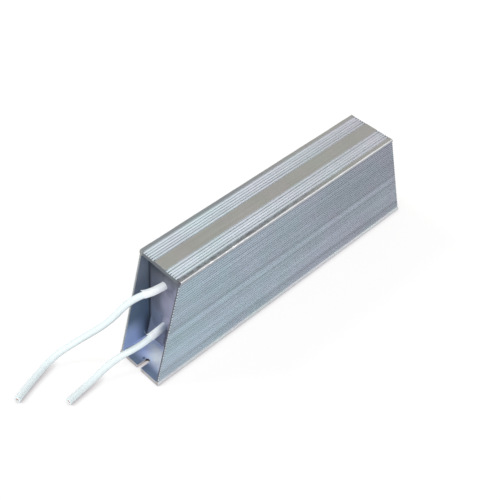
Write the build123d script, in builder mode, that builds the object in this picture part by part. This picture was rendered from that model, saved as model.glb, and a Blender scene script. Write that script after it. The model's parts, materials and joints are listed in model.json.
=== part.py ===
from build123d import *
from math import atan2, cos, degrees, pi, radians, sin, tan
import os

# Aluminium-housed wirewound braking resistor, in millimetres.
# X runs along the housing with the leads at its low end, and Z rises from the base.

# Extruded housing, its ends cut on a slant
housing_width = 50.0
housing_height = 107.0
base_length = 318.0
end_setback = 30.5
base_wall = 3.0
top_wall = 3.6
side_wall = 2.8
inner_corner = 1.5

# Tapered grooves, which leave the ribs of the extrusion between them
side_groove_pitch = 2.7
top_groove_pitch = 2.75
groove_mouth = 1.35
groove_floor = 0.6
groove_depth = 0.8
side_setback = 0.6
lip_height = 3.0
top_group_grooves = 6
top_group_centre = 14.0

# Open mounting slot in each end of the base
slot_width = 5.0
slot_depth = 12.0

# End closures, set back behind the top's end edges at half height, and leaning in towards the top
board_setback = 5.0
board_lean = 3.4
board_thickness = 4.0
board_clearance = 0.15
bead_width = 1.8
bead_depth = 2.2
toe_height = 13.5
toe_depth = 2.9
seal_edge = 0.3

# Insulation inside the walls
liner_thickness = 0.8
liner_clearance = 0.1

# Two wound cores, one above the other
core_spacing = 47.6
core_rise = 3.5
core_diameter = 25.0
core_bore = 12.0
chamber_length = 18.5
support_thickness = 4.0
core_inset = 1.0
winding_thickness = 1.2
fit_clearance = 0.3
filling_clearance = 0.3

# Terminal bands, tabs and the link between the far pair
strip_thickness = 0.8
band_width = 5.0
band_gap = 0.5
tab_width = 6.0
tab_gap = 0.8
tab_overlap = 2.5
notch_clearance = 0.3

# Crimps and leads
crimp_diameter = 5.0
crimp_length = 8.0
crimp_floor = 1.0
conductor_diameter = 2.4
strip_gap = 1.4
lead_diameter = 5.9
lead_lift = 0.1
bend_share = 0.45
sleeve_wall = 0.8
sleeve_length = 31.5
hole_slack = 0.4

# Places that follow from the sizes above
top_length = base_length - 2 * end_setback
base_end = base_length / 2
cavity_width = housing_width - 2 * side_wall
cavity_height = housing_height - base_wall - top_wall
cavity_middle = base_wall + cavity_height / 2
board_face = top_length / 2 - board_setback
board_back = board_face - board_thickness
board_slope = tan(radians(board_lean))
board_swing = board_slope * cavity_height / 2
support_face = board_back - chamber_length
support_back = support_face - support_thickness
core_end = support_face - core_inset
band_face = support_back - band_gap
band_back = band_face - band_width
winding_end = band_back - band_gap
tab_face = support_face + tab_gap + strip_thickness
crimp_face = tab_face + crimp_length
lead_start = crimp_face + strip_gap
core_radius = core_diameter / 2
band_bore = core_radius + fit_clearance
band_radius = band_bore + strip_thickness
winding_radius = core_radius + fit_clearance + winding_thickness
upper_axis = cavity_middle + core_rise + core_spacing / 2
lower_axis = cavity_middle + core_rise - core_spacing / 2
pack_width = cavity_width - 2 * (liner_thickness + 2 * liner_clearance)
pack_height = cavity_height - 2 * (liner_thickness + 2 * liner_clearance)
sleeve_diameter = lead_diameter + 2 * sleeve_wall
lead_rest = lead_diameter / 2 + lead_lift

# Each lead leaves its crimp along the core's axis, droops past the base's end and runs on
# along the surface that the resistor stands on.
# A point is its distance out from the middle of the board's face, its distance aside and its height.
upper_way = [
    (lead_start - board_face, 0.0, upper_axis),
    (7.5, 0.0, upper_axis),
    (28.0, 11.5, 75.5),
    (44.5, 22.5, 50.0),
    (60.0, 44.0, 22.5),
    (80.0, 56.0, 7.5),
    (105.5, 51.5, lead_rest),
    (129.5, 42.5, lead_rest),
]
lower_way = [
    (lead_start - board_face, 0.0, lower_axis),
    (7.5, 0.0, lower_axis),
    (27.0, 1.5, 25.5),
    (50.0, 14.0, 13.0),
    (75.5, 15.0, lead_rest),
    (100.0, 12.0, lead_rest),
]


def cross_plane(distance, height=0.0, side=1):
    """Plane across the housing at a distance from its middle, facing out on the given side."""
    return Plane(origin=(side * distance, 0, height), x_dir=(0, side, 0), z_dir=(side, 0, 0))


def leaning_plane(distance, side):
    """Plane that leans with an end board, at a distance out from the board's face."""
    lean = radians(board_lean)
    return Plane(
        origin=(side * (board_face + distance), 0, cavity_middle),
        x_dir=(0, side, 0),
        z_dir=(side * cos(lean), 0, sin(lean)),
    )


def face_reach(height):
    """Distance of the leaning board's face from the housing's middle at a height."""
    return board_face + (cavity_middle - height) * board_slope


def trim_to_lean(side, inner, outer):
    """Keep what lies between two distances out from the board's face, along its lean."""
    split(bisect_by=leaning_plane(inner, side), keep=Keep.TOP)
    split(bisect_by=leaning_plane(outer, side), keep=Keep.BOTTOM)


def groove():
    """Cut one tapered groove that opens upwards at the local origin."""
    Polygon(
        (-groove_mouth / 2, 0),
        (-groove_floor / 2, -groove_depth),
        (groove_floor / 2, -groove_depth),
        (groove_mouth / 2, 0),
        (groove_mouth / 2, side_setback),
        (-groove_mouth / 2, side_setback),
        align=None,
        mode=Mode.SUBTRACT,
    )


# Housing: the ribbed box section, then its slanted ends and its slots
ribbed_height = housing_height - 2 * lip_height
side_groove_count = int(ribbed_height / side_groove_pitch)
side_crest = housing_width / 2 - side_setback
first_side_groove = housing_height / 2 - (side_groove_count - 1) * side_groove_pitch / 2
side_grooves = [first_side_groove + step * side_groove_pitch for step in range(side_groove_count)]
first_top_groove = -(top_group_grooves - 1) * top_groove_pitch / 2
top_grooves = [first_top_groove + step * top_groove_pitch for step in range(top_group_grooves)]
with BuildPart() as housing:
    with BuildSketch(Plane.YZ) as section:
        with Locations((0, housing_height / 2)):
            Rectangle(housing_width, housing_height)
        with Locations((-housing_width / 2, housing_height / 2), (housing_width / 2, housing_height / 2)):
            Rectangle(2 * side_setback, ribbed_height, mode=Mode.SUBTRACT)
        for side, turn in ((1, -90), (-1, 90)):
            mouths = [Location((side * side_crest, height, 0), (0, 0, turn)) for height in side_grooves]
            with Locations(mouths):
                groove()
        for side in (-1, 1):
            with Locations([(side * top_group_centre + offset, housing_height) for offset in top_grooves]):
                groove()
        with Locations((0, cavity_middle)):
            RectangleRounded(cavity_width, cavity_height, inner_corner, mode=Mode.SUBTRACT)
    extrude(amount=base_end, both=True)
    with BuildSketch(Plane.XZ) as side_view:
        slant = degrees(atan2(housing_height, end_setback))
        Trapezoid(base_length, housing_height, slant, align=(Align.CENTER, Align.MIN))
    extrude(amount=housing_width, both=True, mode=Mode.INTERSECT)
    with BuildSketch(Plane.XY) as slots:
        slot_reach = 2 * (slot_depth - slot_width / 2)
        with Locations((-base_end, 0), (base_end, 0)):
            SlotCenterToCenter(slot_reach, slot_width)
    extrude(amount=base_wall + board_clearance, mode=Mode.SUBTRACT)


def end_board(side, lead_axes):
    """Plate that closes one end of the cavity, with a hole for each lead."""
    board_width = cavity_width - 2 * board_clearance
    board_height = cavity_height - 2 * board_clearance
    with BuildPart() as board:
        with BuildSketch(cross_plane(board_back - 2 * board_swing, cavity_middle, side)):
            RectangleRounded(board_width, board_height, inner_corner)
            with Locations([(0, axis - cavity_middle) for axis in lead_axes]):
                Circle(sleeve_diameter / 2 + hole_slack, mode=Mode.SUBTRACT)
        extrude(amount=board_thickness + 4 * board_swing)
        trim_to_lean(side, -board_thickness, 0)
    return board.part


def end_seal(side):
    """Bead of cement in the corner between a board and the walls, with a toe along the base."""
    seal_width = cavity_width - 2 * seal_edge
    seal_height = cavity_height - 2 * seal_edge
    with BuildPart() as seal:
        with BuildSketch(cross_plane(board_face - 2 * board_swing, cavity_middle, side)):
            RectangleRounded(seal_width, seal_height, inner_corner)
        extrude(amount=bead_depth + 4 * board_swing)
        trim_to_lean(side, 0, bead_depth)
        with BuildSketch(leaning_plane(0, side)):
            Rectangle(seal_width - 2 * bead_width, seal_height - 2 * bead_width)
        with BuildSketch(leaning_plane(bead_depth, side)):
            Rectangle(seal_width - 2 * seal_edge, seal_height - 2 * seal_edge)
        loft(mode=Mode.SUBTRACT)
        toe_base = base_wall + seal_edge
        toe_top = toe_base + toe_height
        with BuildSketch(Plane.XZ):
            Polygon(
                (side * face_reach(toe_base), toe_base),
                (side * (face_reach(toe_base) + toe_depth), toe_base),
                (side * face_reach(toe_top), toe_top),
                align=None,
            )
        extrude(amount=cavity_width / 2 - inner_corner, both=True)
    return seal.part


def core(axis):
    """Ceramic tube that carries one winding."""
    with BuildPart() as tube:
        with BuildSketch(cross_plane(0, axis)):
            Circle(core_radius)
            Circle(core_bore / 2, mode=Mode.SUBTRACT)
        extrude(amount=core_end, both=True)
    return tube.part


def winding(axis):
    """Resistance wire wound close along a core, as one sleeve."""
    with BuildPart() as wire:
        with BuildSketch(cross_plane(0, axis)):
            Circle(winding_radius)
            Circle(core_radius + fit_clearance, mode=Mode.SUBTRACT)
        extrude(amount=winding_end, both=True)
    return wire.part


def terminal(side, axis):
    """Clamp band round a core's end, with a tab that folds across the end to the axis."""
    with BuildPart() as band:
        with BuildSketch(cross_plane(band_back, axis, side)):
            Circle(band_radius)
            Circle(band_bore, mode=Mode.SUBTRACT)
        extrude(amount=band_width)
        with BuildSketch(cross_plane(band_back, axis, side)):
            Circle(band_radius)
            Circle(band_bore, mode=Mode.SUBTRACT)
            Rectangle(tab_width, band_radius, align=(Align.CENTER, Align.MIN), mode=Mode.INTERSECT)
        extrude(amount=tab_face - band_back)
        with BuildSketch(cross_plane(tab_face - strip_thickness, axis, side)):
            Circle(band_radius)
            with Locations((0, -tab_overlap)):
                Rectangle(
                    tab_width,
                    band_radius + tab_overlap,
                    align=(Align.CENTER, Align.MIN),
                    mode=Mode.INTERSECT,
                )
        extrude(amount=strip_thickness)
    return band.part


def core_support(side):
    """Plate with a hole for each core and a notch for the terminal tab above it."""
    with BuildPart() as plate:
        with BuildSketch(cross_plane(support_back, cavity_middle, side)):
            Rectangle(pack_width, pack_height)
            notch_top = band_radius + notch_clearance
            for axis in (upper_axis, lower_axis):
                with Locations((0, axis - cavity_middle)):
                    Circle(core_radius + fit_clearance, mode=Mode.SUBTRACT)
                    Rectangle(
                        tab_width + 2 * notch_clearance,
                        notch_top,
                        align=(Align.CENTER, Align.MIN),
                        mode=Mode.SUBTRACT,
                    )
        extrude(amount=support_thickness)
    return plate.part


def crimp(axis):
    """Barrel that holds a lead's stripped end against the near terminal's tab."""
    with BuildPart() as barrel:
        with BuildSketch(cross_plane(tab_face, axis, -1)):
            Circle(crimp_diameter / 2)
        extrude(amount=crimp_length)
        with BuildSketch(cross_plane(tab_face + crimp_floor, axis, -1)):
            Circle(conductor_diameter / 2 + fit_clearance)
        extrude(amount=crimp_length, mode=Mode.SUBTRACT)
    return barrel.part


def lead_core(axis):
    """Stripped copper end of a lead, from the crimp's floor to the lead's insulation."""
    with BuildPart() as copper:
        with BuildSketch(cross_plane(tab_face + crimp_floor, axis, -1)):
            Circle(conductor_diameter / 2)
        extrude(amount=lead_start - tab_face - crimp_floor)
    return copper.part


def route_points(way):
    """Points of a lead's route, from distances out, aside and up."""
    return [Vector(-(board_face + out), aside, height) for out, aside, height in way]


def corner_radii(points):
    """Radius of each corner, as large as the two runs beside it allow."""
    radii = []
    for before, corner, after in zip(points, points[1:], points[2:]):
        arriving = corner - before
        leaving = after - corner
        half_turn = radians(arriving.get_angle(leaving) / 2)
        radii.append(bend_share * min(arriving.length, leaving.length) / tan(half_turn))
    return radii


def sleeve_and_lead(way):
    """Sleeve over the first stretch of a route and the lead beyond it, and the route's length."""
    points = route_points(way)
    with BuildLine() as route:
        FilletPolyline(*points, radius=corner_radii(points))
    path = route.wire()
    route_start = Plane(origin=points[0], z_dir=points[1] - points[0])
    share = sleeve_length / path.length
    sleeve_end = Plane(origin=path @ share, z_dir=path % share)
    with BuildPart() as tube:
        with BuildSketch(route_start):
            Circle(sleeve_diameter / 2)
        sweep(path=path)
        split(bisect_by=sleeve_end, keep=Keep.BOTTOM)
    with BuildPart() as cable:
        with BuildSketch(route_start):
            Circle(lead_diameter / 2)
        sweep(path=path)
        split(bisect_by=sleeve_end, keep=Keep.TOP)
    return tube.part, cable.part, path.length


# Link between the two far terminals, which puts the windings in series
with BuildPart() as far_link:
    with BuildSketch(cross_plane(tab_face, (upper_axis + lower_axis) / 2)):
        Rectangle(tab_width, core_spacing + 2 * tab_overlap)
    extrude(amount=strip_thickness)

# Set quartz filling between the two supports, clear of the wound cores
with BuildPart() as filler:
    with BuildSketch(cross_plane(0, cavity_middle)):
        Rectangle(pack_width, pack_height)
        with Locations((0, upper_axis - cavity_middle), (0, lower_axis - cavity_middle)):
            Circle(winding_radius + filling_clearance, mode=Mode.SUBTRACT)
    extrude(amount=support_back - fit_clearance, both=True)

# Mica sheets between the filling and the four walls
liner_half_length = board_back - board_swing - liner_clearance
flat_liner_width = cavity_width - 2 * inner_corner
side_liner_height = cavity_height - 2 * inner_corner


def liner(across, along_height, place):
    """Sheet along the cavity, with its size and place in the cross-section."""
    with BuildPart() as sheet:
        with BuildSketch(cross_plane(0, cavity_middle)):
            with Locations(place):
                Rectangle(across, along_height)
        extrude(amount=liner_half_length, both=True)
    return sheet.part


flat_liner_place = cavity_height / 2 - liner_clearance - liner_thickness / 2
side_liner_place = cavity_width / 2 - liner_clearance - liner_thickness / 2

pieces = {
    "housing": housing.part,
    "near_end_board": end_board(-1, (upper_axis, lower_axis)),
    "far_end_board": end_board(1, ()),
    "near_end_seal": end_seal(-1),
    "far_end_seal": end_seal(1),
    "near_core_support": core_support(-1),
    "far_core_support": core_support(1),
    "far_link": far_link.part,
    "filler": filler.part,
    "top_liner": liner(flat_liner_width, liner_thickness, (0, flat_liner_place)),
    "base_liner": liner(flat_liner_width, liner_thickness, (0, -flat_liner_place)),
    "left_liner": liner(liner_thickness, side_liner_height, (side_liner_place, 0)),
    "right_liner": liner(liner_thickness, side_liner_height, (-side_liner_place, 0)),
}
for row, axis, way in (("upper", upper_axis, upper_way), ("lower", lower_axis, lower_way)):
    pieces[row + "_core"] = core(axis)
    pieces[row + "_winding"] = winding(axis)
    pieces[row + "_near_terminal"] = terminal(-1, axis)
    pieces[row + "_far_terminal"] = terminal(1, axis)
    pieces[row + "_crimp"] = crimp(axis)
    pieces[row + "_lead_core"] = lead_core(axis)
    pieces[row + "_sleeve"], pieces[row + "_lead"], route_length = sleeve_and_lead(way)
    lead_volume = pi * lead_diameter**2 / 4 * (route_length - sleeve_length)
    print(row, "route length", round(route_length, 1))
    print(row, "route radii", [round(radius, 1) for radius in corner_radii(route_points(way))])
    print(row, "lead volume over section times length", round(pieces[row + "_lead"].volume / lead_volume, 5))

os.makedirs("parts", exist_ok=True)
for name, piece in pieces.items():
    piece.label = name
    export_step(piece, f"parts/{name}.step")
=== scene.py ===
"""Dress a braking resistor: its ribbed aluminium housing, end closures, sleeves and free leads."""

import json
import logging
import math
from dataclasses import dataclass
from enum import Enum
from functools import reduce
from typing import Callable, Iterator, Sequence

import bmesh
import bpy
from mathutils import Matrix, Vector, noise


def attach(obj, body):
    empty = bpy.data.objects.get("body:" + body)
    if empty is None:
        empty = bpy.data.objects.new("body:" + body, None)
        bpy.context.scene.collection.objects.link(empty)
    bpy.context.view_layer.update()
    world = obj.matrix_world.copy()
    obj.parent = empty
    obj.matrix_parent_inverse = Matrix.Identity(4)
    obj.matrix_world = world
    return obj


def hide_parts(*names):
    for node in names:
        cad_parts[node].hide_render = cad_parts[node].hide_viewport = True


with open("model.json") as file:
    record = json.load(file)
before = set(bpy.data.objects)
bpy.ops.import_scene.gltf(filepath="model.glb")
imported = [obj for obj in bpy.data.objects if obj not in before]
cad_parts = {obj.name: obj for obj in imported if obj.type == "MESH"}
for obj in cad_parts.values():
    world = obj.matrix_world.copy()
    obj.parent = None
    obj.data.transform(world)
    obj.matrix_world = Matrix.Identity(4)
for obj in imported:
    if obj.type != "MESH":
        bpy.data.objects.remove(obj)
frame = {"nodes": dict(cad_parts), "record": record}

LOG = logging.getLogger("braking_resistor")
BODY = "root"
Pair = tuple[float, float]
Triple = tuple[float, float, float]
Fade = tuple[Triple, Triple]
Inputs = dict[int | str, object]
WHITE = (1.0, 1.0, 1.0)
HOUSING_HEIGHT = 0.107
BASE_HALF = 0.159
END_SETBACK = 0.0305
SIDE_PITCH = 0.0027
TOP_PITCH = 0.0026
TOP_SHIFT = 0.0004
EDGE_CHIPS: tuple[Triple, ...] = (
    (-0.1045, 0.0009, 0.00032), (-0.0965, 0.0027, 0.00075), (-0.0895, 0.0020, 0.00045),
    (-0.0800, 0.0026, 0.00060), (-0.0715, 0.0030, 0.00090), (-0.0635, 0.0024, 0.00060),
    (-0.0570, 0.0018, 0.00050), (-0.0350, 0.0012, 0.00030), (0.0120, 0.0012, 0.00030),
    (0.0580, 0.0016, 0.00035),
)


class Side(Enum):
    """Direction in which a row of ribs stands out, with the turn about X that points its crests there."""

    LEFT = (1, math.radians(-90.0))
    RIGHT = (-1, math.radians(90.0))
    UP = (0, 0.0)


def link_object(name: str, data: bpy.types.ID) -> bpy.types.Object:
    """Put a piece of data into the scene as an object at the origin.

    Args:
        name: Name of the object.
        data: Its mesh, curve, light or camera.

    Returns:
        The new object.
    """
    made = bpy.data.objects.new(name, data)
    bpy.context.scene.collection.objects.link(made)
    return made


def softly_shaded(mesh: bpy.types.Mesh, under: float) -> bpy.types.Mesh:
    """Shade a mesh smooth, apart from its sharp edges.

    Args:
        mesh: The mesh.
        under: Largest angle in degrees between faces that are shaded as one.

    Returns:
        The same mesh.
    """
    mesh.shade_smooth()
    mesh.set_sharp_from_angle(angle=math.radians(under))
    return mesh


def mesh_object(name: str, made: bmesh.types.BMesh, under: float = 35.0) -> bpy.types.Object:
    """Turn a closed bmesh into an object whose faces look outwards.

    Args:
        name: Name of the piece.
        made: The mesh in the making, freed here.
        under: Largest angle in degrees between faces that are shaded as one.

    Returns:
        The new object.
    """
    bmesh.ops.recalc_face_normals(made, faces=made.faces)
    mesh = bpy.data.meshes.new(name)
    made.to_mesh(mesh)
    made.free()
    return link_object(name, softly_shaded(mesh, under))


def evaluated_mesh(piece: bpy.types.Object) -> bpy.types.Mesh:
    """Plain mesh of what a curve or an object's modifiers make."""
    return bpy.data.meshes.new_from_object(piece.evaluated_get(bpy.context.evaluated_depsgraph_get()))


def settle(piece: bpy.types.Object, under: float = 35.0) -> bpy.types.Object:
    """Replace a piece's mesh by what its modifiers make of it, and remove them.

    Args:
        piece: Object with live modifiers.
        under: Largest angle in degrees between faces that are shaded as one.

    Returns:
        The same object, with a plain mesh.
    """
    mesh = evaluated_mesh(piece)
    piece.modifiers.clear()
    piece.data = softly_shaded(mesh, under)
    return piece


def bridge(made: bmesh.types.BMesh, first: list, second: list, material: int = 0, outward: bool = True) -> None:
    """Fill the faces between two rings of vertices.

    Args:
        made: The mesh in the making.
        first: One ring.
        second: The next ring, with as many vertices.
        material: Material index of the new faces.
        outward: Whether the faces look away from the rings' middle.
    """
    for index in range(len(first)):
        around = [first[index - 1], first[index], second[index], second[index - 1]]
        made.faces.new(around if outward else around[::-1]).material_index = material


def declare(piece: bpy.types.Object, slot: str, node: str = "") -> None:
    """Let a finished piece ride on the body, and report it.

    Args:
        piece: The piece.
        slot: Material slot of the record that it takes its finish from; not used.
        node: CAD node that it stands for, if any.
    """
    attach(piece, BODY)
    if node:
        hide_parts(node)
    LOG.info("%s: %d faces", piece.name, len(piece.data.polygons))


@dataclass(frozen=True)
class Field:
    """Number, colour or place that changes over a surface, with its sums written as operators."""

    sketch: "NodeSketch"
    socket: bpy.types.NodeSocket

    def math(self, operation: str, other: object = None, clamp: bool = False) -> "Field":
        """Sum of this and another number, by the name of a Math node's operation."""
        return self.sketch.give("ShaderNodeMath", {0: self, 1: other}, operation=operation, use_clamp=clamp)

    def __add__(self, other: object) -> "Field":
        """This and another added."""
        return self.math("ADD", other)

    def __sub__(self, other: object) -> "Field":
        """This less another."""
        return self.math("SUBTRACT", other)

    def __rsub__(self, other: float) -> "Field":
        """A number less this."""
        return self.sketch.give("ShaderNodeMath", {0: other, 1: self}, operation="SUBTRACT")

    def __mul__(self, other: object) -> "Field":
        """This times another."""
        return self.math("MULTIPLY", other)

    def __truediv__(self, other: object) -> "Field":
        """This divided by another."""
        return self.math("DIVIDE", other)

    def __abs__(self) -> "Field":
        """This without its sign."""
        return self.math("ABSOLUTE")

    def off(self, centre: object) -> "Field":
        """How far this number is from a centre."""
        return abs(self - centre)

    def larger(self, other: object) -> "Field":
        """The larger of this and another."""
        return self.math("MAXIMUM", other)

    def remap(self, low: float, high: float, to_low: float = 0.0, to_high: float = 1.0) -> "Field":
        """Carry this smoothly from one range, low to high, into another."""
        ranges = dict(enumerate((self, low, high, to_low, to_high)))
        return self.sketch.give("ShaderNodeMapRange", ranges, interpolation_type="SMOOTHSTEP")

    def within(self, low: float, high: float, soft: float) -> "Field":
        """Mask of 1 between two limits, each softened to both sides."""
        return self.remap(high + soft, high - soft) * self.remap(low - soft, low + soft)

    def mix(self, low: object, high: object) -> "Field":
        """Colour that goes from low to high as this goes from 0 to 1."""
        return self.sketch.give("ShaderNodeMix", {0: self, 6: low, 7: high}, 2, data_type="RGBA")

    def tinted(self, other: object) -> "Field":
        """This colour times another colour or a number."""
        colours = {0: 1.0, 6: self, 7: other}
        return self.sketch.give("ShaderNodeMix", colours, 2, data_type="RGBA", blend_type="MULTIPLY")

    def ramp(self, stops: Sequence[Pair]) -> "Field":
        """Grey ramp over this, from 0 to 1.

        Args:
            stops: Place and brightness of each stop, in order.

        Returns:
            The brightness.
        """
        node = self.sketch.put("ShaderNodeValToRGB", {0: self})
        elements = node.color_ramp.elements
        while len(elements) < len(stops):
            elements.new(1.0)
        for element, (place, grey) in zip(elements, stops):
            element.position = place
            element.color = (grey, grey, grey, 1.0)
        return Field(self.sketch, node.outputs[0])

    def lot(self) -> "Field":
        """Number from 0 to 1 that is the same wherever this is the same."""
        return self.sketch.give("ShaderNodeTexWhiteNoise", {"W": self}, "Value", noise_dimensions="1D")

    def axes(self) -> tuple["Field", ...]:
        """X, Y and Z of this place."""
        node = self.sketch.put("ShaderNodeSeparateXYZ", {0: self})
        return tuple(Field(self.sketch, socket) for socket in node.outputs)

    def stretch(self, scale: Triple) -> "Field":
        """This place scaled along each axis."""
        return self.sketch.give("ShaderNodeMapping", {"Vector": self, "Scale": scale})

    def distance(self, spot: Triple) -> "Field":
        """Distance of this place from a spot."""
        return self.sketch.give("ShaderNodeVectorMath", {0: self, 1: spot}, "Value", operation="DISTANCE")

    def noise(self, scale: float, detail: float = 3.0, rough: float = 0.5) -> "Field":
        """Soft noise about 0.5 over this place, by its lumps to a unit and its finer layers."""
        settings = {"Vector": self, "Scale": scale, "Detail": detail, "Roughness": rough}
        return self.sketch.give("ShaderNodeTexNoise", settings)

    def bump(self, size: float, strength: float) -> "Field":
        """Normal of this height, whose 1 stands for a size in metres."""
        return self.sketch.give("ShaderNodeBump", {"Height": self, "Distance": size, "Strength": strength})


@dataclass(frozen=True)
class NodeSketch:
    """Short calls that add and join nodes in one shader or geometry tree."""

    tree: bpy.types.NodeTree

    def feed(self, node: bpy.types.Node, inputs: Inputs) -> None:
        """Link or set a node's inputs.

        Args:
            node: The node.
            inputs: Field, socket or plain value by the input's name or number; None leaves it as it is.
        """
        for key, value in inputs.items():
            target = node.inputs[key]
            value = value.socket if isinstance(value, Field) else value
            if isinstance(value, bpy.types.NodeSocket):
                self.tree.links.new(value, target)
            elif value is not None:
                target.default_value = (*value, 1.0) if target.type == "RGBA" else value

    def put(self, kind: str, inputs: Inputs | None = None, **settings: object) -> bpy.types.Node:
        """Add a node.

        Args:
            kind: Blender's name for the node type.
            inputs: What its inputs are fed.
            settings: Properties of the node by name.

        Returns:
            The new node.
        """
        node = self.tree.nodes.new(kind)
        for key, value in settings.items():
            setattr(node, key, value)
        self.feed(node, inputs or {})
        return node

    def give(self, kind: str, inputs: Inputs | None = None, output: int | str = 0, **settings: object) -> Field:
        """Add a node as put does, and return one of its outputs."""
        return Field(self, self.put(kind, inputs, **settings).outputs[output])

    def fields(self, node: bpy.types.Node) -> dict[str, Field]:
        """A node's outputs by name."""
        return {socket.name: Field(self, socket) for socket in node.outputs}


class SharedEffects:
    """Shader node groups that several finishes use, each built once."""

    def __init__(self) -> None:
        """Build the groups."""
        self.grain = self.build_grain()
        self.wear_highlight_group = self.build_wear_and_highlight()
        self.mottle = self.build_mottle()

    @staticmethod
    def start(
        name: str, numbers: dict[str, float], outputs: Sequence[str]
    ) -> tuple[NodeSketch, dict[str, Field], bpy.types.Node]:
        """Make an empty group with a Vector, numbers and outputs of one number each.

        Args:
            name: Name of the group.
            numbers: First value of each number by its name.
            outputs: Names of the outputs.

        Returns:
            The group's sketch, its inputs by name and its output node.
        """
        group = bpy.data.node_groups.new(name, "ShaderNodeTree")
        group.interface.new_socket("Vector", in_out="INPUT", socket_type="NodeSocketVector")
        for label, value in numbers.items():
            made = group.interface.new_socket(label, in_out="INPUT", socket_type="NodeSocketFloat")
            made.default_value = value
        for label in outputs:
            group.interface.new_socket(label, in_out="OUTPUT", socket_type="NodeSocketFloat")
        sketch = NodeSketch(group)
        return sketch, sketch.fields(sketch.put("NodeGroupInput")), sketch.put("NodeGroupOutput")

    def build_grain(self) -> bpy.types.NodeTree:
        """Fine grain drawn out along X, as an extrusion die leaves it.

        Returns:
            Group that gives a Height and a Value about 0.
        """
        sketch, given, out = self.start("drawn_grain", {"Strength": 1.0}, ("Height", "Value"))
        lines = given["Vector"].stretch((9.0, 1300.0, 1300.0)).noise(1.0, 2.0, 0.7)
        pits = given["Vector"].noise(2600.0, 2.0, 0.6)
        height = (lines * 0.75 + pits * 0.25) * given["Strength"]
        sketch.feed(out, {"Height": height, "Value": (lines - 0.5) * given["Strength"]})
        return sketch.tree

    def build_wear_and_highlight(self) -> bpy.types.NodeTree:
        """Broken line of wear and painted edge highlight that follows one long edge.

        Returns:
            Group that gives a Mask, from the edge's Y and Z, its Reach and how far it is broken up.
        """
        numbers = {"Edge Y": 0.0, "Edge Z": 0.0, "Reach": 0.001, "Breakup": 0.4}
        sketch, given, out = self.start("edge_wear_and_highlight", numbers, ("Mask",))
        _, across, up = given["Vector"].axes()
        far = across.off(given["Edge Y"]).larger(up.off(given["Edge Z"])) / given["Reach"]
        chips = given["Vector"].stretch((60.0, 240.0, 240.0)).noise(1.0, 5.0, 0.65)
        near = (chips - given["Breakup"]) * 4.0 + 1.0 - far
        sketch.feed(out, {"Mask": near.math("MULTIPLY", 3.0, clamp=True)})
        return sketch.tree

    def build_mottle(self) -> bpy.types.NodeTree:
        """Cloudy change of brightness with finer specks in it.

        Returns:
            Group that gives a Factor about 1 and a mask of Specks.
        """
        sketch, given, out = self.start("mottle", {"Scale": 40.0, "Amount": 0.1}, ("Factor", "Specks"))
        sized = {0: given["Vector"], "Scale": given["Scale"]}
        scaled = sketch.give("ShaderNodeVectorMath", sized, operation="SCALE")
        swing = (scaled.noise(1.0, 4.0, 0.55) - 0.5) * 2.0
        specks = scaled.noise(22.0, 2.0, 0.6).remap(0.58, 0.72)
        sketch.feed(out, {"Factor": swing * given["Amount"] + 1.0, "Specks": specks})
        return sketch.tree


class Finish:
    """Base of every finish: opens a material, places shared groups in it and closes it."""

    @staticmethod
    def open(name: str) -> tuple[bpy.types.Material, Field]:
        """Start a material.

        Args:
            name: Name of the material.

        Returns:
            The material and its object coordinates.
        """
        material = bpy.data.materials.new(name)
        material.use_nodes = True
        return material, NodeSketch(material.node_tree).give("ShaderNodeTexCoord", output="Object")

    @staticmethod
    def use(group: bpy.types.NodeTree, place: Field, **numbers: float) -> dict[str, Field]:
        """Place a shared group.

        Args:
            group: The shared group.
            place: Coordinates.
            numbers: Values by the input's name, with a low line for a space.

        Returns:
            What the group gives, by name.
        """
        inputs = {key.replace("_", " "): value for key, value in numbers.items()}
        node = place.sketch.put("ShaderNodeGroup", {"Vector": place, **inputs}, node_tree=group)
        return place.sketch.fields(node)

    @staticmethod
    def close(
        material: bpy.types.Material, colour: Field, rough: Field, normal: Field, metallic: float = 0.0
    ) -> bpy.types.Material:
        """Feed a material's surface shader.

        Args:
            material: The material.
            colour: Its colour.
            rough: Its roughness.
            normal: Its normal.
            metallic: How metallic it is all over.

        Returns:
            The same material.
        """
        inputs = {"Base Color": colour, "Roughness": rough, "Normal": normal, "Metallic": metallic}
        NodeSketch(material.node_tree).feed(material.node_tree.nodes["Principled BSDF"], inputs)
        return material


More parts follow.
